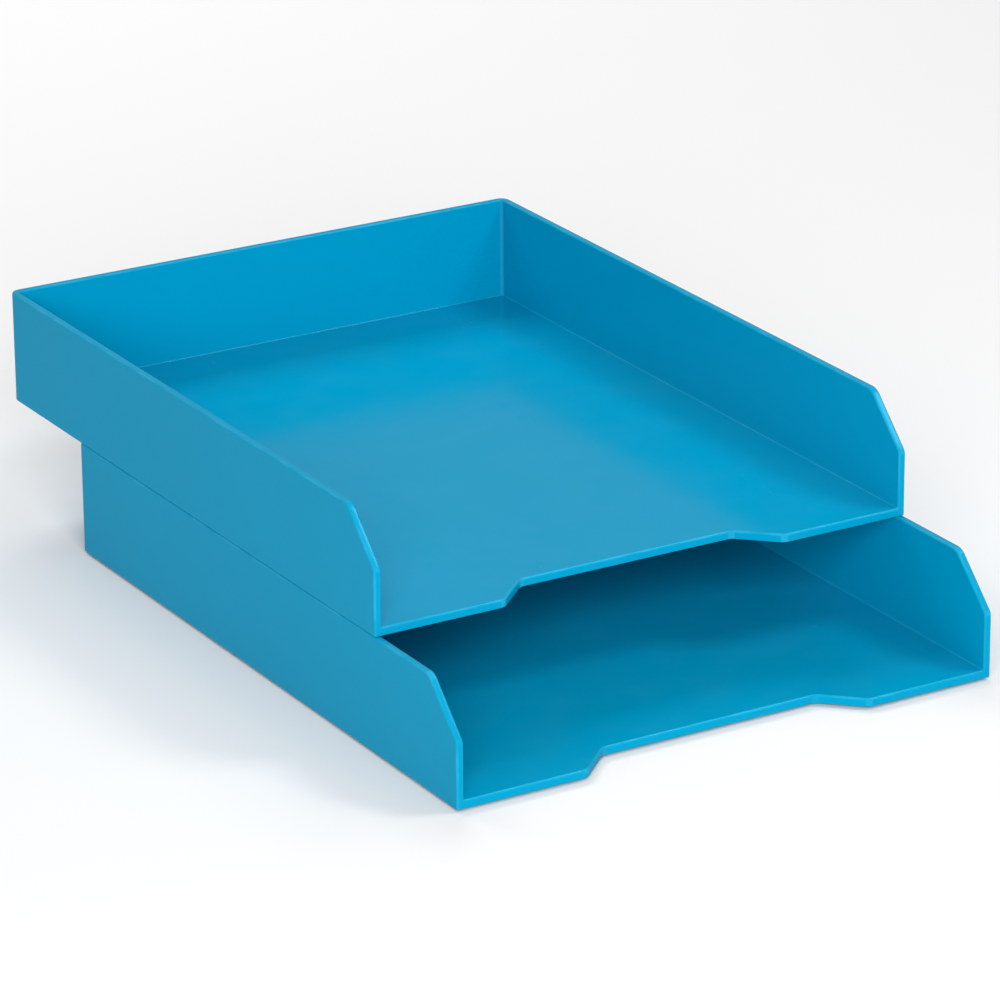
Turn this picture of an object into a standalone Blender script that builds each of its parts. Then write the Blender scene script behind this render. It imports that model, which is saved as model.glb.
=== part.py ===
"""Two stacking letter trays, one standing on the other's rims and set back on it.

Frame: metres, +Z up, the origin under the middle of the pair, the open fronts towards -Y.
Each tray is one moulding: a floor, two side walls and a back wall. The front is open, the
side walls' top front corners are cut off at a slant, and a finger scoop is let into the
floor's front edge. Four rubber feet sit in shallow recesses under each tray.
"""

import math

import bmesh
import bpy
from mathutils import Vector

# Driving dimensions of one tray, in metres.
WIDTH = 0.248
DEPTH = 0.318
HEIGHT = 0.049
WALL = 0.0032
FLOOR = 0.0036
BACK_CORNER_RADIUS = 0.0045
INNER_CORNER_RADIUS = 0.0015

# The side walls' front corners: upright to FRONT_HEIGHT, then slanting back to the rim.
FRONT_HEIGHT = 0.028
SLANT_RUN = 0.021
SLANT_CORNER_RADIUS = 0.0045

# The finger scoop, a trapezoid seen from above.
SCOOP_MOUTH = 0.131
SCOOP_BOTTOM = 0.099
SCOOP_DEPTH = 0.015
SCOOP_CORNER_RADIUS = 0.0045

# Rounding of the moulding's edges.
EDGE_ROUND = 0.0009
EDGE_STEPS = 2

# Rubber feet. They stand just inside the walls, so that an upper tray's feet drop between
# the lower tray's side walls and keep it from sliding off sideways.
FOOT_RADIUS = 0.006
FOOT_THICKNESS = 0.0020
FOOT_PROUD = 0.0012
FOOT_ROUND = 0.0004
FOOT_FROM_SIDE = 0.0115
FOOT_FROM_FRONT = 0.034
FOOT_FROM_BACK = 0.0115
FIT_GAP = 0.0003

# How the pair stands: the upper tray rests on the lower rims, set back by SET_BACK.
SET_BACK = 0.062
STACK_GAP = 0.0003

# Points along a quarter turn of each kind of round.
CORNER_STEPS = 5
SMALL_CORNER_STEPS = 3
FOOT_SIDES = 32
SMOOTH_BELOW = math.radians(40)

PLASTIC_COLOUR = (0.0, 0.36, 0.62, 1.0)
RUBBER_COLOUR = (0.035, 0.036, 0.038, 1.0)


def clear_scene():
    for found in list(bpy.data.objects):
        bpy.data.objects.remove(found, do_unlink=True)


def make_material(name, colour, roughness):
    material = bpy.data.materials.new(name)
    material.use_nodes = True
    shader = material.node_tree.nodes["Principled BSDF"]
    shader.inputs["Base Color"].default_value = colour
    shader.inputs["Roughness"].default_value = roughness
    shader.inputs["Metallic"].default_value = 0.0
    return material


def rounded(corner, before, after, radius, steps):
    """Points of the arc that rounds a corner between its two neighbours."""
    corner, before, after = Vector(corner), Vector(before), Vector(after)
    to_before = (before - corner).normalized()
    to_after = (after - corner).normalized()
    half = to_before.angle(to_after) / 2
    reach = radius / math.tan(half)
    centre = corner + (to_before + to_after).normalized() * (radius / math.sin(half))
    start = corner + to_before * reach - centre
    end = corner + to_after * reach - centre
    turn = start.angle(end)
    points = []
    for step in range(steps + 1):
        share = step / steps
        lead = math.sin((1 - share) * turn) / math.sin(turn)
        trail = math.sin(share * turn) / math.sin(turn)
        points.append(tuple(centre + start * lead + end * trail))
    return points


def wall_path(inset, radius, steps):
    """The walls' line seen from above, from the left front, round the back, to the right front."""
    side = WIDTH / 2 - inset
    back = DEPTH - inset
    left_front, left_back = (-side, 0.0), (-side, back)
    right_front, right_back = (side, 0.0), (side, back)
    return (
        [left_front]
        + rounded(left_back, left_front, right_back, radius, steps)
        + rounded(right_back, left_back, right_front, radius, steps)
        + [right_front]
    )


def scoop_path():
    """The floor's front edge across the finger scoop, from right to left."""
    mouth, bottom = SCOOP_MOUTH / 2, SCOOP_BOTTOM / 2
    edge = WIDTH / 2 - WALL
    corners = [
        (edge, 0.0),
        (mouth, 0.0),
        (bottom, SCOOP_DEPTH),
        (-bottom, SCOOP_DEPTH),
        (-mouth, 0.0),
        (-edge, 0.0),
    ]
    points = []
    for before, corner, after in zip(corners, corners[1:], corners[2:]):
        points += rounded(corner, before, after, SCOOP_CORNER_RADIUS, SMALL_CORNER_STEPS)
    return points


def extrude_up(shape, faces, height):
    """Extrude faces straight up and return the new top faces."""
    made = bmesh.ops.extrude_face_region(shape, geom=faces)["geom"]
    points = [item for item in made if isinstance(item, bmesh.types.BMVert)]
    bmesh.ops.translate(shape, verts=points, vec=(0, 0, height))
    return [item for item in made if isinstance(item, bmesh.types.BMFace)]


def is_wall(face):
    """Whether a level face is the walls' strip: it reaches the tray's outer side."""
    return max(abs(vert.co.x) for vert in face.verts) > WIDTH / 2 - WALL / 2


def slanted_edge(edge):
    """Whether an edge crosses a side wall at one end of its slant."""
    middle = (edge.verts[0].co + edge.verts[1].co) / 2
    across = abs(edge.verts[0].co.x - edge.verts[1].co.x) > WALL / 2
    at_front = abs(middle.y) < FIT_GAP and abs(middle.z - FRONT_HEIGHT) < FIT_GAP
    at_rim = abs(middle.y - SLANT_RUN) < FIT_GAP and abs(middle.z - HEIGHT) < FIT_GAP
    return across and (at_front or at_rim)


def make_tray_mesh():
    """One tray without its foot recesses, its front on y = 0 and its underside on z = 0."""
    shape = bmesh.new()
    outer = wall_path(0.0, BACK_CORNER_RADIUS, CORNER_STEPS)
    inner = wall_path(WALL, INNER_CORNER_RADIUS, SMALL_CORNER_STEPS)
    outer_points = [shape.verts.new((x, y, 0)) for x, y in outer]
    inner_points = [shape.verts.new((x, y, 0)) for x, y in inner]
    scoop_points = [shape.verts.new((x, y, 0)) for x, y in scoop_path()]
    wall_base = shape.faces.new(outer_points + inner_points[::-1])
    floor_base = shape.faces.new(inner_points + scoop_points)

    # The floor's thickness, then the walls above it. The first faces stay as the underside.
    tops = extrude_up(shape, [wall_base, floor_base], FLOOR)
    wall_roots = [face for face in tops if is_wall(face)]
    extrude_up(shape, wall_roots, HEIGHT - FLOOR)
    bmesh.ops.delete(shape, geom=wall_roots, context="FACES_ONLY")

    # The slant: cut through both side walls' front corners and close the cuts.
    rise, run = HEIGHT - FRONT_HEIGHT, SLANT_RUN
    bmesh.ops.bisect_plane(
        shape,
        geom=list(shape.verts) + list(shape.edges) + list(shape.faces),
        plane_co=(0, 0, FRONT_HEIGHT),
        plane_no=(0, -rise, run),
        clear_outer=True,
    )
    rims = [edge for edge in shape.edges if edge.is_boundary]
    bmesh.ops.holes_fill(shape, edges=rims, sides=0)
    bmesh.ops.recalc_face_normals(shape, faces=shape.faces)

    bmesh.ops.bevel(
        shape,
        geom=[edge for edge in shape.edges if slanted_edge(edge)],
        offset=SLANT_CORNER_RADIUS * math.tan(math.radians(22.5)),
        segments=SMALL_CORNER_STEPS,
        profile=0.5,
        affect="EDGES",
    )
    sharp = [edge for edge in shape.edges if edge.calc_face_angle(0) > SMOOTH_BELOW]
    bmesh.ops.bevel(
        shape, geom=sharp, offset=EDGE_ROUND, segments=EDGE_STEPS, profile=0.5, affect="EDGES"
    )
    mesh = bpy.data.meshes.new("tray")
    shape.to_mesh(mesh)
    shape.free()
    return mesh


def foot_centres():
    """Each foot's place seen from above, by its name, in the tray's own frame."""
    side = WIDTH / 2 - FOOT_FROM_SIDE
    return {
        "front_left": (-side, FOOT_FROM_FRONT),
        "front_right": (side, FOOT_FROM_FRONT),
        "back_left": (-side, DEPTH - FOOT_FROM_BACK),
        "back_right": (side, DEPTH - FOOT_FROM_BACK),
    }


def make_disc_mesh(name, radius, low, high, rounding):
    """A round disc between two heights, its lower edge rounded off."""
    shape = bmesh.new()
    bmesh.ops.create_cone(
        shape,
        cap_ends=True,
        segments=FOOT_SIDES,
        radius1=radius,
        radius2=radius,
        depth=high - low,
    )
    bmesh.ops.translate(shape, verts=shape.verts, vec=(0, 0, (high + low) / 2))
    if rounding:
        edges = [edge for edge in shape.edges if max(vert.co.z for vert in edge.verts) < low + rounding]
        bmesh.ops.bevel(
            shape, geom=edges, offset=rounding, segments=EDGE_STEPS, profile=0.5, affect="EDGES"
        )
    mesh = bpy.data.meshes.new(name)
    shape.to_mesh(mesh)
    shape.free()
    return mesh


def finish(found, material, parent):
    bpy.context.scene.collection.objects.link(found)
    found.data.materials.clear()
    found.data.materials.append(material)
    found.data.shade_smooth()
    found.data.set_sharp_from_angle(angle=SMOOTH_BELOW)
    found.parent = parent


def make_recess_cutter(name, parent, disc_mesh):
    """The four foot recesses of one tray, as one cutter."""
    shape = bmesh.new()
    for x, y in foot_centres().values():
        before = len(shape.verts)
        shape.from_mesh(disc_mesh)
        shape.verts.ensure_lookup_table()
        bmesh.ops.translate(shape, verts=shape.verts[before:], vec=(x, y, 0))
    mesh = bpy.data.meshes.new(name)
    shape.to_mesh(mesh)
    shape.free()
    cutter = bpy.data.objects.new(name, mesh)
    bpy.context.scene.collection.objects.link(cutter)
    cutter.parent = parent
    cutter.hide_render = True
    cutter.display_type = "WIRE"
    return cutter


def make_tray(prefix, place, meshes, plastic, rubber):
    """One tray with its feet, on an empty at the tray's front middle underside."""
    stand = bpy.data.objects.new(prefix + "_place", None)
    bpy.context.scene.collection.objects.link(stand)
    stand.location = place

    tray = bpy.data.objects.new(prefix + "_tray", meshes["tray"].copy())
    finish(tray, plastic, stand)
    recesses = tray.modifiers.new("foot recesses", "BOOLEAN")
    recesses.operation = "DIFFERENCE"
    recesses.solver = "EXACT"
    recesses.object = make_recess_cutter(prefix + "_recess_cutter", stand, meshes["recess"])

    for where, (x, y) in foot_centres().items():
        foot = bpy.data.objects.new(prefix + "_foot_" + where, meshes["foot"].copy())
        finish(foot, rubber, stand)
        foot.location = (x, y, 0)


def main():
    clear_scene()
    plastic = make_material("blue_plastic", PLASTIC_COLOUR, 0.2)
    rubber = make_material("foot_rubber", RUBBER_COLOUR, 0.75)
    sunk = FOOT_THICKNESS - FOOT_PROUD
    meshes = {
        "tray": make_tray_mesh(),
        "foot": make_disc_mesh("foot", FOOT_RADIUS, -FOOT_PROUD, sunk, FOOT_ROUND),
        "recess": make_disc_mesh(
            "recess", FOOT_RADIUS + FIT_GAP, -FOOT_PROUD, sunk + FIT_GAP, 0
        ),
    }
    front = -(DEPTH + SET_BACK) / 2
    make_tray("lower", (0, front, FOOT_PROUD), meshes, plastic, rubber)
    upper_height = FOOT_PROUD + HEIGHT + STACK_GAP
    make_tray("upper", (0, front + SET_BACK, upper_height), meshes, plastic, rubber)


main()
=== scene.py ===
"""A pair of stacking letter trays in glossy moulded plastic, with rubber feet.

Laid out as a Blender add-on: one operator models the trays, one the feet and one the stage,
and a panel lists them with the sizes and colours that a user would change.
"""

import math

import bmesh
import bpy
from bpy.props import FloatProperty, FloatVectorProperty, IntProperty, PointerProperty
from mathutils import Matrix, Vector


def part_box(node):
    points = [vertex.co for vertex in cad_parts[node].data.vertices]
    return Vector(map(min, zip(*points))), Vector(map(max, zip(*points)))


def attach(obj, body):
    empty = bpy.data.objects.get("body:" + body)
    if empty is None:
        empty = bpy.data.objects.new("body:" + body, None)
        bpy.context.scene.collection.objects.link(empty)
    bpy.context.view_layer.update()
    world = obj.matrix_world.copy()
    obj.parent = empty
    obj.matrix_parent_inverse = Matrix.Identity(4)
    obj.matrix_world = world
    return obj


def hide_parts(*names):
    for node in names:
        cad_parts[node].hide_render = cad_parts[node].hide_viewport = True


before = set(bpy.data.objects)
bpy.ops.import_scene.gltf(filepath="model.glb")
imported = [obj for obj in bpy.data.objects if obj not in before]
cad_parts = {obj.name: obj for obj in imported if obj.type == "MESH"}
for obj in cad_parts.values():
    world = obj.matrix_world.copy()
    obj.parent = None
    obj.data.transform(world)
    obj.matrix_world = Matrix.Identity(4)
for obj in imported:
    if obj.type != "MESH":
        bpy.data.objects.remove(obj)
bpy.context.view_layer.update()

bl_info = {
    "name": "Letter Tray Pair",
    "version": (1, 0, 0),
    "blender": (4, 5, 0),
    "location": "View3D > Sidebar > Letter Tray",
    "description": "Models a pair of stacking letter trays with rubber feet, on a plain stage",
    "category": "Add Mesh",
}

LEVELS = ("lower", "upper")
TRAY_LOW, TRAY_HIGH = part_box("lower_tray")
FOOT_LOW, FOOT_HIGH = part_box("lower_foot_front_left")
FOOT_THICKNESS = FOOT_HIGH.z - FOOT_LOW.z

# Two places closer than this are the same place.
TINY = 0.0002
# Edges that turn more than SHARP get rounded, and faces that turn less than SMOOTH shade as one.
SHARP = math.radians(40)
SMOOTH = math.radians(32)
# Faces round a disc, and across the rounding of an upright back corner, of a slant's or a
# scoop's corner, and of a foot's sole, top and grooves.
DISC_STEPS = 64
BACK_CORNER_STEPS = 8
SLANT_CORNER_STEPS = 6
SOLE_STEPS = 5
FOOT_TOP_STEPS = 3
GROOVE_STEPS = 2
# Where the ejector pin marks are, as shares of the tray's width and depth.
PIN_COLUMNS = (-0.3, 0, 0.3)
PIN_ROWS = (0.2, 0.5, 0.8)

# Heights in the materials are in micrometres.
MICROMETRE = 0.000001
PLASTIC_SCRATCH = -2.5
RUBBER_SCRATCH = -6.0
PLASTIC_ROUGHNESS = 0.15
RUBBER_ROUGHNESS = 0.66

# Where the noise behind each effect begins to show, and where it shows in full.
SCRATCH_PATCHES = (0.52, 0.66)
WEAR_PATCHES = (0.42, 0.66)
SMUDGE_PATCHES = (0.45, 0.70)
DUST_FILM = (0.30, 0.80)
DUST_SPECKS = (0.070, 0.045)
# A dust speck's size over the specks' spacing, and how much of the film shows.
SPECK_CROWDING = 0.12
FILM_SHARE = 0.12
# The patches of scratches next to their spacing, and the crosswise ones next to the others.
SCRATCH_PATCH_SCALE = 0.37
CROSSWISE_SHARE = 0.6

# Pale cyan that the plastic's rounded edges take: partly wear, partly a painted highlight along
# the edges.
EDGE_WEAR_AND_HIGHLIGHT = (0.10, 0.58, 0.80, 1)
PALE_SCUFF = (0.16, 0.16, 0.155, 1)
DUST_COLOUR = (0.62, 0.60, 0.56, 1)
PLASTIC_SHEEN = (0.2, 0.75, 1.0, 1)


# Sizes and colours

class TraySettings(bpy.types.PropertyGroup):
    """Sizes and colour of one tray's moulding."""

    width: FloatProperty(
        name="Width",
        description="Across the tray, over both side walls",
        default=TRAY_HIGH.x - TRAY_LOW.x,
        unit="LENGTH",
    )
    depth: FloatProperty(
        name="Depth",
        description="From the open front to the back wall's outer face",
        default=TRAY_HIGH.y - TRAY_LOW.y,
        unit="LENGTH",
    )
    height: FloatProperty(
        name="Height",
        description="From the underside to the walls' rim",
        default=TRAY_HIGH.z - TRAY_LOW.z,
        unit="LENGTH",
    )
    wall: FloatProperty(
        name="Wall",
        description="Thickness of the side and back walls",
        default=0.0032,
        unit="LENGTH",
    )
    floor: FloatProperty(
        name="Floor",
        description="Thickness of the floor",
        default=0.0036,
        unit="LENGTH",
    )
    back_radius: FloatProperty(
        name="Back corners",
        description="Outer radius of the two upright back corners",
        default=0.0045,
        unit="LENGTH",
    )
    front_height: FloatProperty(
        name="Front height",
        description="Height of the side walls' upright front ends, where the slant begins",
        default=0.028,
        unit="LENGTH",
    )
    slant_run: FloatProperty(
        name="Slant run",
        description="How far back the slant reaches the rim",
        default=0.021,
        unit="LENGTH",
    )
    slant_top_round: FloatProperty(
        name="Slant top",
        description="Length that the rounding takes off each side of the slant's upper corner",
        default=0.0026,
        unit="LENGTH",
    )
    slant_foot_round: FloatProperty(
        name="Slant foot",
        description="Length that the rounding takes off each side of the slant's lower corner",
        default=0.0014,
        unit="LENGTH",
    )
    scoop_mouth: FloatProperty(
        name="Scoop mouth",
        description="Width of the finger scoop at the front edge",
        default=0.131,
        unit="LENGTH",
    )
    scoop_bottom: FloatProperty(
        name="Scoop bottom",
        description="Width of the finger scoop at its back",
        default=0.099,
        unit="LENGTH",
    )
    scoop_depth: FloatProperty(
        name="Scoop depth",
        description="How far the finger scoop reaches back from the front edge",
        default=0.015,
        unit="LENGTH",
    )
    scoop_round: FloatProperty(
        name="Scoop corners",
        description="Length that the rounding takes off each side of the scoop's corners",
        default=0.0018,
        unit="LENGTH",
    )
    edge_round: FloatProperty(
        name="Edge rounding",
        description="Rounding of the edges that a hand meets",
        default=0.0009,
        unit="LENGTH",
    )
    tight_round: FloatProperty(
        name="Tight rounding",
        description="Rounding of the inside corners, and of the underside's outline",
        default=0.0004,
        unit="LENGTH",
    )
    edge_steps: IntProperty(
        name="Edge steps",
        description="Faces across each rounded edge",
        default=5,
        min=1,
        max=12,
    )
    pin_radius: FloatProperty(
        name="Pin mark",
        description="Radius of the round ejector pin marks in the underside",
        default=0.0035,
        unit="LENGTH",
    )
    pin_depth: FloatProperty(
        name="Pin mark depth",
        description="How deep the ejector pin marks are",
        default=0.00015,
        unit="LENGTH",
    )
    colour: FloatVectorProperty(
        name="Plastic",
        description="Colour of the moulded plastic",
        default=(0.0, 0.305, 0.520),
        subtype="COLOR",
        size=3,
        min=0.0,
        max=1.0,
    )


class FootSettings(bpy.types.PropertyGroup):
    """Sizes and colour of one rubber foot."""

    radius: FloatProperty(
        name="Radius",
        description="Radius of a foot",
        default=(FOOT_HIGH.x - FOOT_LOW.x) / 2,
        unit="LENGTH",
    )
    rounding: FloatProperty(
        name="Rounding",
        description="Rounding of a foot's lower edge",
        default=0.0004,
        unit="LENGTH",
    )
    ridge: FloatProperty(
        name="Ridge",
        description="Width of each ring between the grooves in a foot's sole",
        default=0.0009,
        unit="LENGTH",
    )
    groove: FloatProperty(
        name="Groove",
        description="Width of the grooves in a foot's sole",
        default=0.0006,
        unit="LENGTH",
    )
    groove_depth: FloatProperty(
        name="Groove depth",
        description="Depth of the grooves in a foot's sole",
        default=0.0003,
        unit="LENGTH",
    )
    play: FloatProperty(
        name="Play",
        description="Gap all round between a foot and its recess",
        default=0.0003,
        unit="LENGTH",
    )
    colour: FloatVectorProperty(
        name="Rubber",
        description="Colour of the rubber",
        default=(0.030, 0.031, 0.034),
        subtype="COLOR",
        size=3,
        min=0.0,
        max=1.0,
    )


class StageSettings(bpy.types.PropertyGroup):
    """The floor, the lights and the camera."""

    floor_size: FloatProperty(
        name="Floor",
        description="Side of the square floor",
        default=9.0,
        unit="LENGTH",
    )
    floor_colour: FloatVectorProperty(
        name="Floor colour",
        description="Colour of the pale floor",
        default=(0.86, 0.86, 0.86),
        subtype="COLOR",
        size=3,
        min=0.0,
        max=1.0,
    )
    room_light: FloatProperty(
        name="Room light",
        description="Strength of the even light from all round",
        default=0.25,
    )
    azimuth: FloatProperty(
        name="Azimuth",
        description="Where the camera stands round the trays",
        default=math.radians(-30.59),
        subtype="ANGLE",
    )
    elevation: FloatProperty(
        name="Elevation",
        description="The camera's height above the horizon",
        default=math.radians(21.09),
        subtype="ANGLE",
    )
    roll: FloatProperty(
        name="Roll",
        description="How far the camera leans about its own axis",
        default=math.radians(-0.41),
        subtype="ANGLE",
    )
    distance: FloatProperty(
        name="Distance",
        description="From the camera to the point that it looks at",
        default=2.273,
        unit="LENGTH",
    )
    lens: FloatProperty(
        name="Lens",
        description="Focal length on the sensor, in millimetres",
        default=196.85,
    )
    aim: FloatVectorProperty(
        name="Aim",
        description="The point that the camera looks at",
        default=(0.0044, -0.0064, 0.0415),
        subtype="TRANSLATION",
        size=3,
    )


# Millimetres, as the lens's focal length is.
SENSOR_WIDTH = 36
TRAYS = (0, 0, 0.05)
# Each softbox: its name, place, the point that it faces, width, height, power in watts, and
# whether it shows in the gloss. The two bright ones would bleach the trays' floors there.
SOFTBOXES = (
    ("front_softbox", (-1.02, -1.86, 0.95), TRAYS, 1.4, 1.1, 47.0, False),
    ("sheen_softbox", (-1.02, -1.86, 0.95), TRAYS, 1.4, 1.1, 5.0, True),
    ("slant_softbox", (0.65, -0.49, 1.10), TRAYS, 0.36, 0.36, 4.4, True),
    ("top_softbox", (0.0, 0.2, 1.5), TRAYS, 1.6, 1.6, 1.0, True),
    ("rear_softbox", (0.2, 1.8, 1.9), (0.2, 1.5, 0.0), 2.4, 1.2, 42.0, False),
)


# Working by hand, in code

def deselect_all():
    """Leave nothing selected, so that an operator acts only on what is picked next."""
    if bpy.context.mode != "OBJECT":
        bpy.ops.object.mode_set(mode="OBJECT")
    bpy.ops.object.select_all(action="DESELECT")


def take_up(piece):
    """Select one object alone and make it the active one."""
    deselect_all()
    piece.select_set(True)
    bpy.context.view_layer.objects.active = piece


def open_up(piece):
    """Go into edit mode on one object."""
    take_up(piece)
    bpy.ops.object.mode_set(mode="EDIT")


def pick(piece, kind, test):
    """In edit mode, select the VERTs, EDGEs or FACEs that a test holds for."""
    bpy.ops.mesh.select_mode(type=kind)
    bpy.ops.mesh.select_all(action="DESELECT")
    shape = bmesh.from_edit_mesh(piece.data)
    parts = {"VERT": shape.verts, "EDGE": shape.edges, "FACE": shape.faces}[kind]
    chosen = [part for part in parts if test(part)]
    if not chosen:
        raise RuntimeError(f"nothing to select on {piece.name}")
    for part in chosen:
        part.select_set(True)
    bmesh.update_edit_mesh(piece.data)


def pick_all():
    """In edit mode, select everything."""
    bpy.ops.mesh.select_mode(type="FACE")
    bpy.ops.mesh.select_all(action="SELECT")


def middle(edge):
    """The point halfway along an edge."""
    return (edge.verts[0].co + edge.verts[1].co) / 2


def near(value, wanted):
    """Whether two lengths are the same."""
    return abs(value - wanted) < TINY


def push_up(height):
    """Extrude what is selected straight up."""
    bpy.ops.mesh.extrude_region_move(TRANSFORM_OT_translate={"value": (0, 0, height)})


def apply_modifiers(piece):
    """Work a piece's modifiers into its mesh."""
    take_up(piece)
    for modifier in list(piece.modifiers):
        bpy.ops.object.modifier_apply(modifier=modifier.name)


def cut_away(piece, cutter):
    """Take a cutter's shape out of a piece, and the cutter out of the scene."""
    cut = piece.modifiers.new("Cut", "BOOLEAN")
    cut.operation = "DIFFERENCE"
    cut.solver = "EXACT"
    cut.object = cutter
    apply_modifiers(piece)
    bpy.data.objects.remove(cutter, do_unlink=True)


def shade(piece):
    """Shade rounded edges smooth and flat faces flat."""
    take_up(piece)
    bpy.ops.object.shade_smooth_by_angle(angle=SMOOTH)
    weighted = piece.modifiers.new("Weighted", "WEIGHTED_NORMAL")
    weighted.keep_sharp = True
    weighted.weight = 100
    apply_modifiers(piece)


def copy_to(piece, name, offset):
    """A copy of a piece with its own mesh, moved by an offset that goes into its mesh."""
    take_up(piece)
    bpy.ops.object.duplicate()
    copy = bpy.context.active_object
    copy.name = copy.data.name = name
    copy.location = Vector(offset)
    bpy.ops.object.transform_apply(location=True, rotation=False, scale=False)
    return copy


def narrowness(face):
    """Roughly how wide a face is across its narrow way."""
    return face.calc_area() / max(edge.calc_length() for edge in face.edges)


def mark_surface(piece, narrow):
    """Store on each point whether it is on a rounded edge, in an inner corner, or faces up.

    The points of the rounded strips, which are all narrower than narrow, are the edges and
    the corners. The materials read the three as attributes.
    """
    shape = bmesh.new()
    shape.from_mesh(piece.data)
    marks = {"edge": [], "corner": [], "upward": []}
    for vert in shape.verts:
        rounded = all(narrowness(face) < narrow for face in vert.link_faces)
        turn = sum(edge.calc_face_angle_signed(0) for edge in vert.link_edges)
        marks["edge"].append(1.0 if rounded and turn > 0 else 0.0)
        marks["corner"].append(1.0 if rounded and turn < 0 else 0.0)
        marks["upward"].append(max(0.0, vert.normal.z))
    shape.free()
    for name, values in marks.items():
        attribute = piece.data.attributes.new(name, "FLOAT", "POINT")
        attribute.data.foreach_set("value", values)


# One tray

def spread_plan(tray, sizes):
    """The tray's plan as flat faces: the strip that the walls stand on, and the floor inside."""
    spare = 2 * sizes.back_radius
    open_up(tray)
    bpy.ops.transform.resize(value=(sizes.width, sizes.depth + spare, 1))
    bpy.ops.transform.translate(value=(0, (sizes.depth - spare) / 2, 0))
    pick(tray, "VERT", lambda vert: vert.co.y > sizes.depth / 2)
    bpy.ops.mesh.bevel(
        offset=sizes.back_radius,
        segments=BACK_CORNER_STEPS,
        affect="VERTICES",
    )
    pick_all()
    bpy.ops.mesh.inset(thickness=sizes.wall, depth=0)
    pick_all()
    bpy.ops.mesh.bisect(plane_co=(0, 0, 0), plane_no=(0, -1, 0), clear_outer=True)


def cut_scoop(tray, sizes):
    """Let the finger scoop into the floor's front edge."""
    mouth = sizes.scoop_mouth / 2
    bottom = sizes.scoop_bottom / 2
    depth = sizes.scoop_depth

    def is_floor(face):
        front = min(vert.co.y for vert in face.verts)
        return abs(face.calc_center_median().x) < mouth and near(front, 0)

    pick(tray, "FACE", is_floor)
    bpy.ops.mesh.bisect(plane_co=(0, depth, 0), plane_no=(0, 1, 0))
    for side in (-1, 1):
        pick(tray, "FACE", is_floor)
        bpy.ops.mesh.bisect(
            plane_co=(side * mouth, 0, 0),
            plane_no=(side * depth, mouth - bottom, 0),
        )
    pick(tray, "FACE", is_floor)
    bpy.ops.mesh.delete(type="FACE")

    def is_seam(edge):
        at_depth = all(near(vert.co.y, depth) for vert in edge.verts)
        return at_depth and not edge.is_boundary

    pick(tray, "EDGE", is_seam)
    bpy.ops.mesh.dissolve_edges(use_verts=False)

    def is_corner(vert):
        at_mouth = near(abs(vert.co.x), mouth) and near(vert.co.y, 0)
        at_bottom = near(abs(vert.co.x), bottom) and near(vert.co.y, depth)
        return at_mouth or at_bottom

    pick(tray, "VERT", is_corner)
    bpy.ops.mesh.bevel(
        offset=sizes.scoop_round,
        segments=SLANT_CORNER_STEPS,
        affect="VERTICES",
    )


def raise_walls(tray, sizes):
    """Give the plan the floor's thickness and raise the walls from its outer strip."""
    pick_all()
    push_up(sizes.floor)

    def is_wall_top(face):
        centre = face.calc_center_median()
        on_side = abs(centre.x) > sizes.width / 2 - sizes.wall
        at_back = centre.y > sizes.depth - sizes.wall
        return near(centre.z, sizes.floor) and (on_side or at_back)

    pick(tray, "FACE", is_wall_top)
    push_up(sizes.height - sizes.floor)


def slant_fronts(tray, sizes):
    """Cut the side walls' top front corners off at a slant, and round the slant's ends."""
    rise = sizes.height - sizes.front_height
    pick_all()
    bpy.ops.mesh.bisect(
        plane_co=(0, 0, sizes.front_height),
        plane_no=(0, -rise, sizes.slant_run),
        use_fill=True,
        clear_outer=True,
    )
    pick_all()
    bpy.ops.mesh.normals_make_consistent(inside=False)
    ends = (
        (0, sizes.front_height, sizes.slant_foot_round),
        (sizes.slant_run, sizes.height, sizes.slant_top_round),
    )
    for back, up, rounding in ends:

        def is_end(edge):
            place = middle(edge)
            across = abs(edge.verts[0].co.x - edge.verts[1].co.x) > sizes.wall / 2
            return across and near(place.y, back) and near(place.z, up)

        pick(tray, "EDGE", is_end)
        bpy.ops.mesh.bevel(offset=rounding, segments=SLANT_CORNER_STEPS, affect="EDGES")


def soften_edges(tray, sizes):
    """Round every sharp edge, and the inside corners and the underside's outline less."""
    deselect_all()
    shape = bmesh.new()
    shape.from_mesh(tray.data)
    shares = []
    for edge in shape.edges:
        on_base = max(vert.co.z for vert in edge.verts) < TINY
        inside = edge.calc_face_angle_signed() < 0
        rounding = sizes.tight_round if on_base or inside else sizes.edge_round
        shares.append(rounding / sizes.edge_round if edge.calc_face_angle() > SHARP else 0.0)
    shape.free()
    weights = tray.data.attributes.new("bevel_weight_edge", "FLOAT", "EDGE")
    weights.data.foreach_set("value", shares)
    rounder = tray.modifiers.new("Rounding", "BEVEL")
    rounder.limit_method = "WEIGHT"
    rounder.width = sizes.edge_round
    rounder.segments = sizes.edge_steps
    apply_modifiers(tray)
    tray.data.attributes.remove(tray.data.attributes["bevel_weight_edge"])


def foot_places():
    """Each foot's place by its name, in the frame, from the CAD feet: centre, and sole."""
    places = {}
    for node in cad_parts:
        if "_foot_" in node:
            low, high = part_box(node)
            places[node] = Vector(((low.x + high.x) / 2, (low.y + high.y) / 2, low.z))
    return places


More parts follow.
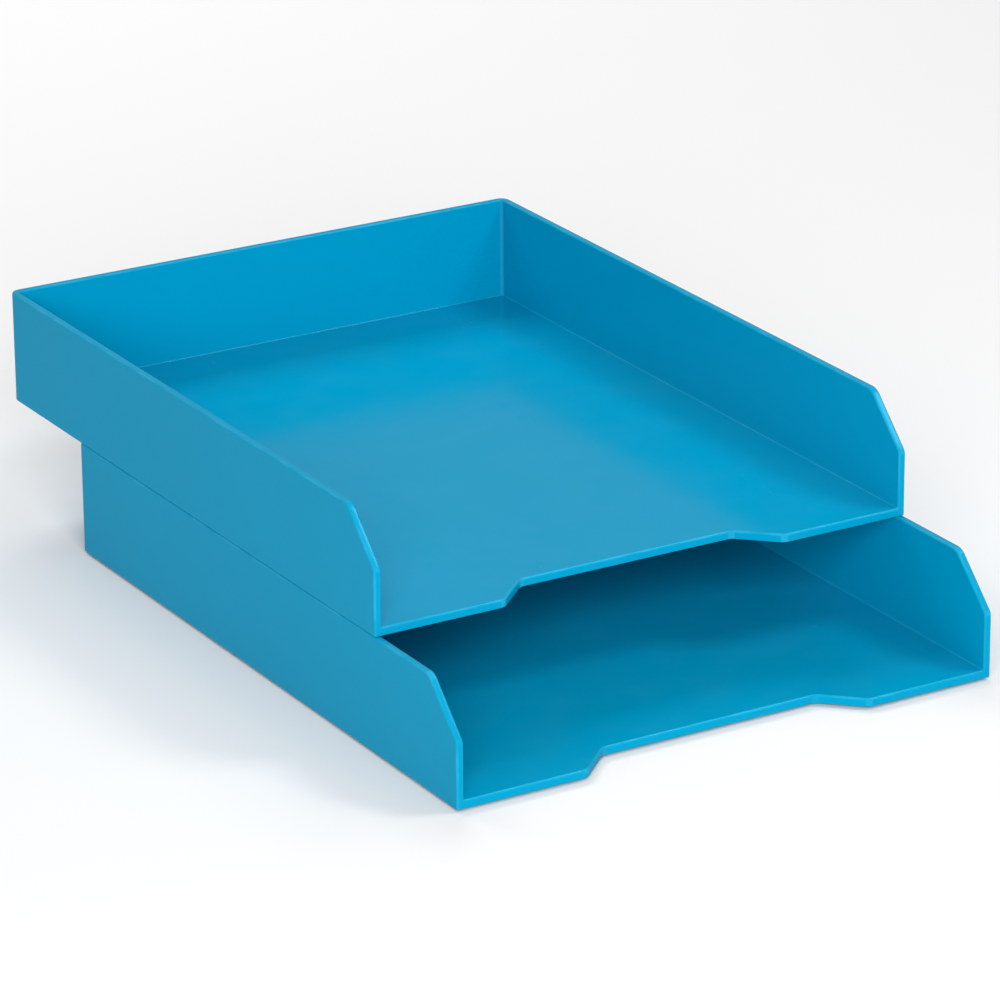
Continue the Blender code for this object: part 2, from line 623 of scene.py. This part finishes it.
def sink_disc(tray, place, radius, depth):
    """Sink a round recess into the underside, with a small chamfer round its mouth."""
    chamfer = depth / 5
    deselect_all()
    bpy.ops.mesh.primitive_cylinder_add(
        vertices=DISC_STEPS,
        radius=radius,
        depth=2 * depth,
        location=place,
    )
    cutter = bpy.context.active_object
    bpy.ops.object.transform_apply(location=True, rotation=False, scale=False)
    open_up(cutter)
    pick_all()
    bpy.ops.mesh.bisect(plane_co=(0, 0, chamfer), plane_no=(0, 0, 1))
    pick(cutter, "VERT", lambda vert: vert.co.z < 0)
    bpy.ops.transform.translate(value=(0, 0, depth - chamfer))
    spread = (radius + 2 * chamfer) / radius
    bpy.ops.transform.resize(value=(spread, spread, 1), center_override=place)
    deselect_all()
    cut_away(tray, cutter)


def mark_underside(tray, sizes, foot):
    """Sink the four foot recesses and the mould's pin marks into the underside."""
    recess = FOOT_HIGH.z - TRAY_LOW.z + foot.play
    for node, place in foot_places().items():
        if node.startswith("lower"):
            spot = (place.x, place.y - TRAY_LOW.y, 0)
            sink_disc(tray, spot, foot.radius + foot.play, recess)
    for across in PIN_COLUMNS:
        for along in PIN_ROWS:
            spot = (across * sizes.width, along * sizes.depth, 0)
            sink_disc(tray, spot, sizes.pin_radius, sizes.pin_depth)


def model_tray(sizes, foot):
    """One tray, its front on y = 0 and its underside on z = 0."""
    deselect_all()
    bpy.ops.mesh.primitive_plane_add(size=1)
    tray = bpy.context.active_object
    tray.name = tray.data.name = "tray"
    spread_plan(tray, sizes)
    cut_scoop(tray, sizes)
    raise_walls(tray, sizes)
    slant_fronts(tray, sizes)
    soften_edges(tray, sizes)
    mark_underside(tray, sizes, foot)
    shade(tray)
    mark_surface(tray, sizes.edge_round)
    return tray


# One foot

def model_foot(sizes):
    """One rubber foot, its sole on z = 0, with two ring grooves in it."""
    deselect_all()
    bpy.ops.mesh.primitive_cylinder_add(
        vertices=DISC_STEPS,
        radius=sizes.radius,
        depth=FOOT_THICKNESS,
        location=(0, 0, FOOT_THICKNESS / 2),
    )
    foot = bpy.context.active_object
    foot.name = foot.data.name = "foot"
    bpy.ops.object.transform_apply(location=True, rotation=False, scale=False)
    open_up(foot)

    def is_top_edge(edge):
        level = near(middle(edge).z, FOOT_THICKNESS)
        return level and edge.verts[0].co.z > FOOT_THICKNESS - TINY / 2

    pick(foot, "EDGE", lambda edge: near(middle(edge).z, 0))
    bpy.ops.mesh.bevel(offset=sizes.rounding, segments=SOLE_STEPS, affect="EDGES")
    pick(foot, "EDGE", is_top_edge)
    bpy.ops.mesh.bevel(offset=sizes.rounding / 2, segments=FOOT_TOP_STEPS, affect="EDGES")
    pick(foot, "FACE", lambda face: face.normal.z < -0.99 and len(face.verts) > 4)
    slope = sizes.groove_depth / 3
    for _ in range(2):
        bpy.ops.mesh.inset(thickness=sizes.ridge, depth=0)
        bpy.ops.mesh.inset(thickness=slope, depth=-sizes.groove_depth)
        bpy.ops.mesh.inset(thickness=sizes.groove, depth=0)
        bpy.ops.mesh.inset(thickness=slope, depth=sizes.groove_depth)
    bpy.ops.mesh.select_mode(type="EDGE")
    bpy.ops.mesh.select_all(action="DESELECT")
    bpy.ops.mesh.edges_select_sharp(sharpness=SHARP)
    bpy.ops.mesh.bevel(offset=slope / 2, segments=GROOVE_STEPS, affect="EDGES")
    deselect_all()
    shade(foot)
    mark_surface(foot, sizes.rounding / 2)
    return foot


# Nodes

def feed(tree, source, socket):
    """Link a socket to another one, or set it to a plain value."""
    if isinstance(source, bpy.types.NodeSocket):
        tree.links.new(source, socket)
    else:
        socket.default_value = source


def put(tree, kind, inputs=None, **settings):
    """Add a shader node with its settings and inputs."""
    node = tree.nodes.new("ShaderNode" + kind)
    for name, value in settings.items():
        setattr(node, name, value)
    for name, value in (inputs or {}).items():
        feed(tree, value, node.inputs[name])
    return node


def work(tree, operation, *values, clamp=False):
    """A Math node on the given values, and its result."""
    node = put(tree, "Math", operation=operation, use_clamp=clamp)
    for socket, value in zip(node.inputs, values):
        feed(tree, value, socket)
    return node.outputs["Value"]


def step_up(tree, value, low, high):
    """A smooth step from 0 at low to 1 at high."""
    inputs = {"Value": value, "From Min": low, "From Max": high}
    return put(tree, "MapRange", inputs, interpolation_type="SMOOTHSTEP").outputs["Result"]


def cloud(tree, vector, size, detail=2.0):
    """Soft noise from 0 to 1 in patches of one size, in metres."""
    scale = work(tree, "DIVIDE", 1.0, size)
    inputs = {"Vector": vector, "Scale": scale, "Detail": detail}
    return put(tree, "TexNoise", inputs).outputs["Fac"]


def mix_colour(tree, share, first, second):
    """The first colour, with a share of the second over it.

    A Mix node's sockets share their names, so its colour ones are told by their numbers.
    """
    node = put(tree, "Mix", data_type="RGBA")
    feed(tree, share, node.inputs[0])
    feed(tree, first, node.inputs[6])
    feed(tree, second, node.inputs[7])
    return node.outputs[2]


def arrange(tree):
    """Lay a tree's nodes out in columns, each to the left of what it feeds."""
    columns = {}
    for node in tree.nodes:
        columns.setdefault(column_of(node), []).append(node)
    for column, nodes in columns.items():
        for row, node in enumerate(nodes):
            node.location = (-220 * column, -260 * row)


def column_of(node):
    """How many links lie between a node and the end of its tree."""
    fed = [link.to_node for socket in node.outputs for link in socket.links]
    return 1 + max(map(column_of, fed)) if fed else 0


def new_group(name, inputs, output, kind="NodeSocketFloat"):
    """A node group with named inputs, each with its kind and value, and one output."""
    tree = bpy.data.node_groups.new(name, "ShaderNodeTree")
    for label, (socket_kind, value) in inputs.items():
        socket = tree.interface.new_socket(label, in_out="INPUT", socket_type=socket_kind)
        if value is not None:
            socket.default_value = value
    tree.interface.new_socket(output, in_out="OUTPUT", socket_type=kind)
    given = tree.nodes.new("NodeGroupInput").outputs
    result = tree.nodes.new("NodeGroupOutput").inputs[output]
    return tree, given, result


VECTOR = ("NodeSocketVector", None)


def number(value):
    """A number input's kind and value."""
    return ("NodeSocketFloat", value)


def tone_drift_group():
    """Slow changes of tone in the colour, as pigment settles in a moulding."""
    inputs = {
        "Color": ("NodeSocketColor", (0.5, 0.5, 0.5, 1)),
        "Vector": VECTOR,
        "Patch Size": number(0.08),
        "Amount": number(0.05),
    }
    tree, given, result = new_group("Tone drift", inputs, "Color", "NodeSocketColor")
    broad = cloud(tree, given["Vector"], given["Patch Size"], detail=1.0)
    fine = cloud(tree, given["Vector"], work(tree, "MULTIPLY", given["Patch Size"], 0.08))
    both = work(tree, "MULTIPLY_ADD", fine, 0.25, work(tree, "MULTIPLY", broad, 0.75))
    swing = work(tree, "MULTIPLY", work(tree, "SUBTRACT", both, 0.5), given["Amount"])
    shift = {
        "Hue": work(tree, "MULTIPLY_ADD", swing, 0.15, 0.5),
        "Saturation": 1.0,
        "Value": work(tree, "MULTIPLY_ADD", swing, 4.0, 1.0),
        "Color": given["Color"],
    }
    feed(tree, put(tree, "HueSaturation", shift).outputs["Color"], result)
    arrange(tree)
    return tree


def moulded_skin_group():
    """Height of a moulded surface in micrometres: slow waves under a fine grain."""
    inputs = {
        "Vector": VECTOR,
        "Wave Size": number(0.004),
        "Wave Height": number(4.0),
        "Grain Size": number(0.0002),
        "Grain Height": number(0.3),
    }
    tree, given, result = new_group("Moulded skin", inputs, "Height")
    wave = cloud(tree, given["Vector"], given["Wave Size"], detail=0.0)
    grain = cloud(tree, given["Vector"], given["Grain Size"], detail=1.0)
    waves = work(tree, "MULTIPLY", wave, given["Wave Height"])
    feed(tree, work(tree, "MULTIPLY_ADD", grain, given["Grain Height"], waves), result)
    arrange(tree)
    return tree


def hairlines_along(tree, given, turn, across, offset):
    """Broken hairlines along one axis: a noise stretched that way, kept where it crosses 1/2."""
    turning = {"Vector": given["Vector"], "Rotation": turn}
    turned = put(tree, "VectorRotate", turning, rotation_type="EULER_XYZ")
    narrow = work(tree, "DIVIDE", 1.0, given["Spacing"])
    long = work(tree, "DIVIDE", 1.0, given["Length"])
    stretch = [narrow, narrow, narrow]
    stretch[across] = long
    scale = put(tree, "CombineXYZ", dict(zip("XYZ", stretch)))
    stretched = put(tree, "VectorMath", operation="MULTIPLY_ADD")
    for socket, value in zip(stretched.inputs, (turned.outputs[0], scale.outputs[0], offset)):
        feed(tree, value, socket)
    place = stretched.outputs[0]
    line = put(tree, "TexNoise", {"Vector": place, "Scale": 1.0, "Detail": 0.0}).outputs["Fac"]
    off_line = work(tree, "ABSOLUTE", work(tree, "SUBTRACT", line, 0.5))
    share = work(tree, "DIVIDE", off_line, given["Fineness"])
    sharp = work(tree, "SUBTRACT", 1.0, share, clamp=True)
    patching = {"Vector": place, "Scale": SCRATCH_PATCH_SCALE, "Detail": 1.0}
    patch = put(tree, "TexNoise", patching).outputs["Fac"]
    return work(tree, "MULTIPLY", sharp, step_up(tree, patch, *SCRATCH_PATCHES))


def hairlines_group():
    """Fine scratches from sliding paper and stacking, front to back and side to side."""
    inputs = {
        "Vector": VECTOR,
        "Length": number(0.05),
        "Spacing": number(0.006),
        "Fineness": number(0.012),
        "Amount": number(1.0),
    }
    tree, given, result = new_group("Hairline scratches", inputs, "Mask")
    along = hairlines_along(tree, given, (0.03, 0.02, 0.09), 1, (3.1, 0.7, 5.2))
    across = hairlines_along(tree, given, (0.02, -0.03, -0.12), 0, (8.4, 2.6, 1.9))
    crosswise = work(tree, "MULTIPLY", across, CROSSWISE_SHARE)
    either = work(tree, "MAXIMUM", along, crosswise)
    feed(tree, work(tree, "MULTIPLY", either, given["Amount"]), result)
    arrange(tree)
    return tree


def edge_wear_group():
    """Patchy wear where a rounded edge is rubbed; the plastic also lays a painted edge highlight
    with this mask.
    """
    inputs = {
        "Vector": VECTOR,
        "Edge": number(0.0),
        "Patch Size": number(0.012),
        "Amount": number(1.0),
    }
    tree, given, result = new_group("Edge wear", inputs, "Mask")
    noise = cloud(tree, given["Vector"], given["Patch Size"], detail=4.0)
    patches = step_up(tree, noise, *WEAR_PATCHES)
    rubbed = work(tree, "MULTIPLY", given["Edge"], work(tree, "MULTIPLY_ADD", patches, 0.8, 0.2))
    feed(tree, work(tree, "MULTIPLY", rubbed, given["Amount"]), result)
    arrange(tree)
    return tree


def smudges_group():
    """Faint patches that hands leave in a gloss."""
    inputs = {
        "Vector": VECTOR,
        "Patch Size": number(0.03),
        "Amount": number(1.0),
    }
    tree, given, result = new_group("Handling smudges", inputs, "Mask")
    noise = cloud(tree, given["Vector"], given["Patch Size"], detail=3.0)
    patches = step_up(tree, noise, *SMUDGE_PATCHES)
    feed(tree, work(tree, "MULTIPLY", patches, given["Amount"]), result)
    arrange(tree)
    return tree


def settled_dust_group():
    """A thin film and a few specks of dust on what faces up, and more in inner corners."""
    inputs = {
        "Vector": VECTOR,
        "Upward": number(0.0),
        "Corner": number(0.0),
        "Speck Size": number(0.0003),
        "Amount": number(1.0),
    }
    tree, given, result = new_group("Settled dust", inputs, "Mask")
    facing_up = work(tree, "POWER", given["Upward"], 3.0)
    film = step_up(tree, cloud(tree, given["Vector"], 0.02, detail=4.0), *DUST_FILM)
    cells_per_metre = work(tree, "DIVIDE", SPECK_CROWDING, given["Speck Size"])
    cells = put(tree, "TexVoronoi", {"Vector": given["Vector"], "Scale": cells_per_metre})
    speck = step_up(tree, cells.outputs["Distance"], *DUST_SPECKS)
    lying = work(tree, "MAXIMUM", work(tree, "MULTIPLY", film, FILM_SHARE), speck)
    on_top = work(tree, "MULTIPLY", lying, facing_up)
    corner_film = work(tree, "MULTIPLY_ADD", film, 0.4, 0.1)
    gathered = work(tree, "MULTIPLY", given["Corner"], corner_film)
    dust = work(tree, "MAXIMUM", on_top, gathered)
    feed(tree, work(tree, "MULTIPLY", dust, given["Amount"], clamp=True), result)
    arrange(tree)
    return tree


EFFECTS = {
    "tone": tone_drift_group,
    "skin": moulded_skin_group,
    "hairlines": hairlines_group,
    "wear": edge_wear_group,
    "smudges": smudges_group,
    "dust": settled_dust_group,
}


def effect(tree, name, **inputs):
    """Place one of the shared effects in a material, with its own values, and give its output.

    The group is built the first time that it is asked for.
    """
    made = {group["effect"]: group for group in bpy.data.node_groups if "effect" in group}
    if name not in made:
        made[name] = EFFECTS[name]()
        made[name]["effect"] = name
    node = tree.nodes.new("ShaderNodeGroup")
    node.node_tree = made[name]
    node.label = made[name].name
    for label, value in inputs.items():
        feed(tree, value, node.inputs[label.replace("_", " ")])
    return node.outputs[0]


# Materials

def start_material(name):
    """A new material: its tree, its shader, its Object coordinates, and a reader of attributes."""
    material = bpy.data.materials.new(name)
    material.use_nodes = True
    tree = material.node_tree
    place = put(tree, "TexCoord").outputs["Object"]

    def attribute(label):
        return put(tree, "Attribute", attribute_name=label).outputs["Fac"]

    return material, tree, tree.nodes["Principled BSDF"], place, attribute


def add_up(tree, base, *shares):
    """A base value plus each mask times its weight."""
    total = base
    for mask, weight in shares:
        total = work(tree, "MULTIPLY_ADD", mask, weight, total)
    return total


def plastic_material(colour):
    """Glossy moulded plastic, coloured right through, a little used, with a painted highlight on
    its rounded edges.
    """
    material, tree, shader, place, attribute = start_material("Blue gloss plastic")
    edge = attribute("edge")
    tone = effect(tree, "tone", Color=(*colour, 1), Vector=place, Patch_Size=0.09, Amount=0.03)
    wear = effect(tree, "wear", Vector=place, Edge=edge, Patch_Size=0.014, Amount=0.5)
    hairlines = effect(
        tree, "hairlines", Vector=place, Length=0.06, Spacing=0.005, Fineness=0.014, Amount=1.0
    )
    smudges = effect(tree, "smudges", Vector=place, Patch_Size=0.045, Amount=1.0)
    dust = effect(
        tree,
        "dust",
        Vector=place,
        Upward=attribute("upward"),
        Corner=attribute("corner"),
        Speck_Size=0.0003,
        Amount=0.06,
    )
    skin = effect(
        tree,
        "skin",
        Vector=place,
        Wave_Size=0.005,
        Wave_Height=5.0,
        Grain_Size=0.0002,
        Grain_Height=0.25,
    )
    # The rounded edges take pale cyan in patches: painted highlight along the edges, as well as
    # wear.
    rubbed = mix_colour(tree, work(tree, "MULTIPLY", wear, 0.3), tone, EDGE_WEAR_AND_HIGHLIGHT)
    dusty = mix_colour(tree, dust, rubbed, DUST_COLOUR)
    feed(tree, dusty, shader.inputs["Base Color"])
    shares = ((smudges, 0.02), (hairlines, 0.12), (wear, 0.15), (dust, 0.8))
    rough = add_up(tree, PLASTIC_ROUGHNESS, *shares)
    feed(tree, rough, shader.inputs["Roughness"])
    height = work(tree, "MULTIPLY_ADD", hairlines, PLASTIC_SCRATCH, skin)
    bump = put(tree, "Bump", {"Height": height, "Distance": MICROMETRE})
    feed(tree, bump.outputs["Normal"], shader.inputs["Normal"])
    shader.inputs["IOR"].default_value = 1.52
    shader.inputs["Specular IOR Level"].default_value = 0.3
    shader.inputs["Specular Tint"].default_value = PLASTIC_SHEEN
    arrange(tree)
    return material


def rubber_material(colour):
    """Matt rubber with a moulded grain, scuffed pale on its rounded lower edge."""
    material, tree, shader, place, attribute = start_material("Foot rubber")
    edge = attribute("edge")
    tone = effect(tree, "tone", Color=(*colour, 1), Vector=place, Patch_Size=0.01, Amount=0.12)
    wear = effect(tree, "wear", Vector=place, Edge=edge, Patch_Size=0.002, Amount=0.8)
    hairlines = effect(
        tree, "hairlines", Vector=place, Length=0.004, Spacing=0.0008, Fineness=0.04, Amount=0.8
    )
    smudges = effect(tree, "smudges", Vector=place, Patch_Size=0.003, Amount=1.0)
    dust = effect(
        tree,
        "dust",
        Vector=place,
        Upward=attribute("upward"),
        Corner=attribute("corner"),
        Speck_Size=0.00015,
        Amount=0.4,
    )
    skin = effect(
        tree,
        "skin",
        Vector=place,
        Wave_Size=0.0012,
        Wave_Height=12.0,
        Grain_Size=0.00018,
        Grain_Height=9.0,
    )
    scuffs = work(tree, "MAXIMUM", wear, work(tree, "MULTIPLY", hairlines, 0.35))
    rubbed = mix_colour(tree, work(tree, "MULTIPLY", scuffs, 0.5), tone, PALE_SCUFF)
    dusty = mix_colour(tree, dust, rubbed, DUST_COLOUR)
    feed(tree, dusty, shader.inputs["Base Color"])
    rough = add_up(tree, RUBBER_ROUGHNESS, (smudges, 0.12), (scuffs, 0.1), (dust, 0.2))
    feed(tree, rough, shader.inputs["Roughness"])
    height = work(tree, "MULTIPLY_ADD", hairlines, RUBBER_SCRATCH, skin)
    bump = put(tree, "Bump", {"Height": height, "Distance": MICROMETRE})
    feed(tree, bump.outputs["Normal"], shader.inputs["Normal"])
    shader.inputs["Specular IOR Level"].default_value = 0.4
    arrange(tree)
    return material


# The stage

def add_floor(sizes):
    """A plain pale floor, kept out of the gloss, where it would grey the walls."""
    deselect_all()
    bpy.ops.mesh.primitive_plane_add(size=sizes.floor_size)
    floor = bpy.context.active_object
    floor.name = floor.data.name = "studio_floor"
    material = bpy.data.materials.new("Pale floor")
    material.use_nodes = True
    shader = material.node_tree.nodes["Principled BSDF"]
    shader.inputs["Base Color"].default_value = (*sizes.floor_colour, 1)
    shader.inputs["Roughness"].default_value = 0.9
    shader.inputs["Specular IOR Level"].default_value = 0.2
    floor.data.materials.append(material)
    floor.visible_glossy = False


def add_softbox(name, place, target, width, height, power, in_gloss):
    """A soft rectangular light at a place, facing a target, which the camera doesn't see."""
    lamp = bpy.data.lights.new(name, "AREA")
    lamp.shape = "RECTANGLE"
    lamp.size, lamp.size_y = width, height
    lamp.energy = power
    light = bpy.data.objects.new(name, lamp)
    bpy.context.scene.collection.objects.link(light)
    light.location = place
    light.visible_camera = False
    light.visible_glossy = in_gloss
    facing = Vector(target) - Vector(place)
    light.rotation_euler = facing.to_track_quat("-Z", "Y").to_euler()


def add_room_light(strength):
    """Even light from all round, as from a white room."""
    world = bpy.data.worlds.new("Studio")
    bpy.context.scene.world = world
    world.use_nodes = True
    background = world.node_tree.nodes["Background"]
    background.inputs["Color"].default_value = (1, 1, 1, 1)
    background.inputs["Strength"].default_value = strength


def add_camera(sizes):
    """The camera, at its distance from the point that it looks at."""
    turn, climb = sizes.azimuth, sizes.elevation
    level = Vector((math.sin(turn), -math.cos(turn), 0)) * math.cos(climb)
    back = level + Vector((0, 0, math.sin(climb)))
    lens = bpy.data.cameras.new("camera")
    lens.lens = sizes.lens
    lens.sensor_width = SENSOR_WIDTH
    lens.clip_start, lens.clip_end = 0.05, 50
    camera = bpy.data.objects.new("camera", lens)
    bpy.context.scene.collection.objects.link(camera)
    camera.location = Vector(sizes.aim) + back * sizes.distance
    camera.rotation_euler = (-back).to_track_quat("-Z", "Y").to_euler()
    camera.rotation_euler.rotate_axis("Z", sizes.roll)
    bpy.context.scene.camera = camera


# Operators

class LETTERTRAY_OT_add_trays(bpy.types.Operator):
    """Model one tray and set it down twice, as the lower and the upper one"""

    bl_idname = "lettertray.add_trays"
    bl_label = "Add trays"

    def execute(self, context):
        sizes = context.scene.letter_tray
        plastic = plastic_material(sizes.colour)
        tray = model_tray(sizes, context.scene.letter_tray_foot)
        for level in LEVELS:
            low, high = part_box(level + "_tray")
            shell = copy_to(tray, level + "_tray_shell", ((low.x + high.x) / 2, low.y, low.z))
            shell.data.materials.append(plastic)
            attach(shell, level)
            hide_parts(level + "_tray")
        bpy.data.objects.remove(tray, do_unlink=True)
        return {"FINISHED"}


class LETTERTRAY_OT_add_feet(bpy.types.Operator):
    """Model one rubber foot and set it under each tray four times"""

    bl_idname = "lettertray.add_feet"
    bl_label = "Add feet"

    def execute(self, context):
        sizes = context.scene.letter_tray_foot
        rubber = rubber_material(sizes.colour)
        foot = model_foot(sizes)
        for node, place in foot_places().items():
            pad = copy_to(foot, node + "_pad", place)
            pad.data.materials.append(rubber)
            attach(pad, node.split("_")[0])
            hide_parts(node)
        bpy.data.objects.remove(foot, do_unlink=True)
        return {"FINISHED"}


class LETTERTRAY_OT_add_stage(bpy.types.Operator):
    """Set up the pale floor, the soft studio light and the camera"""

    bl_idname = "lettertray.add_stage"
    bl_label = "Add stage"

    def execute(self, context):
        sizes = context.scene.letter_tray_stage
        add_floor(sizes)
        add_room_light(sizes.room_light)
        for softbox in SOFTBOXES:
            add_softbox(*softbox)
        add_camera(sizes)
        context.scene.view_settings.view_transform = "Standard"
        return {"FINISHED"}


class LETTERTRAY_PT_panel(bpy.types.Panel):
    """The letter trays' operators, sizes and colours"""

    bl_idname = "LETTERTRAY_PT_panel"
    bl_label = "Letter Tray"
    bl_space_type = "VIEW_3D"
    bl_region_type = "UI"
    bl_category = "Letter Tray"

    def draw(self, context):
        scene = context.scene
        groups = (
            ("lettertray.add_trays", scene.letter_tray),
            ("lettertray.add_feet", scene.letter_tray_foot),
            ("lettertray.add_stage", scene.letter_tray_stage),
        )
        for operator, settings in groups:
            box = self.layout.box()
            box.operator(operator)
            for name in settings.__annotations__:
                box.prop(settings, name)


CLASSES = (
    TraySettings,
    FootSettings,
    StageSettings,
    LETTERTRAY_OT_add_trays,
    LETTERTRAY_OT_add_feet,
    LETTERTRAY_OT_add_stage,
    LETTERTRAY_PT_panel,
)
SETTINGS = {
    "letter_tray": TraySettings,
    "letter_tray_foot": FootSettings,
    "letter_tray_stage": StageSettings,
}


def register():
    for made in CLASSES:
        bpy.utils.register_class(made)
    for name, made in SETTINGS.items():
        setattr(bpy.types.Scene, name, PointerProperty(type=made))


def unregister():
    for name in SETTINGS:
        delattr(bpy.types.Scene, name)
    for made in reversed(CLASSES):
        bpy.utils.unregister_class(made)


def main():
    register()
    bpy.ops.lettertray.add_stage()
    bpy.ops.lettertray.add_trays()
    bpy.ops.lettertray.add_feet()


if __name__ == "__main__":
    main()
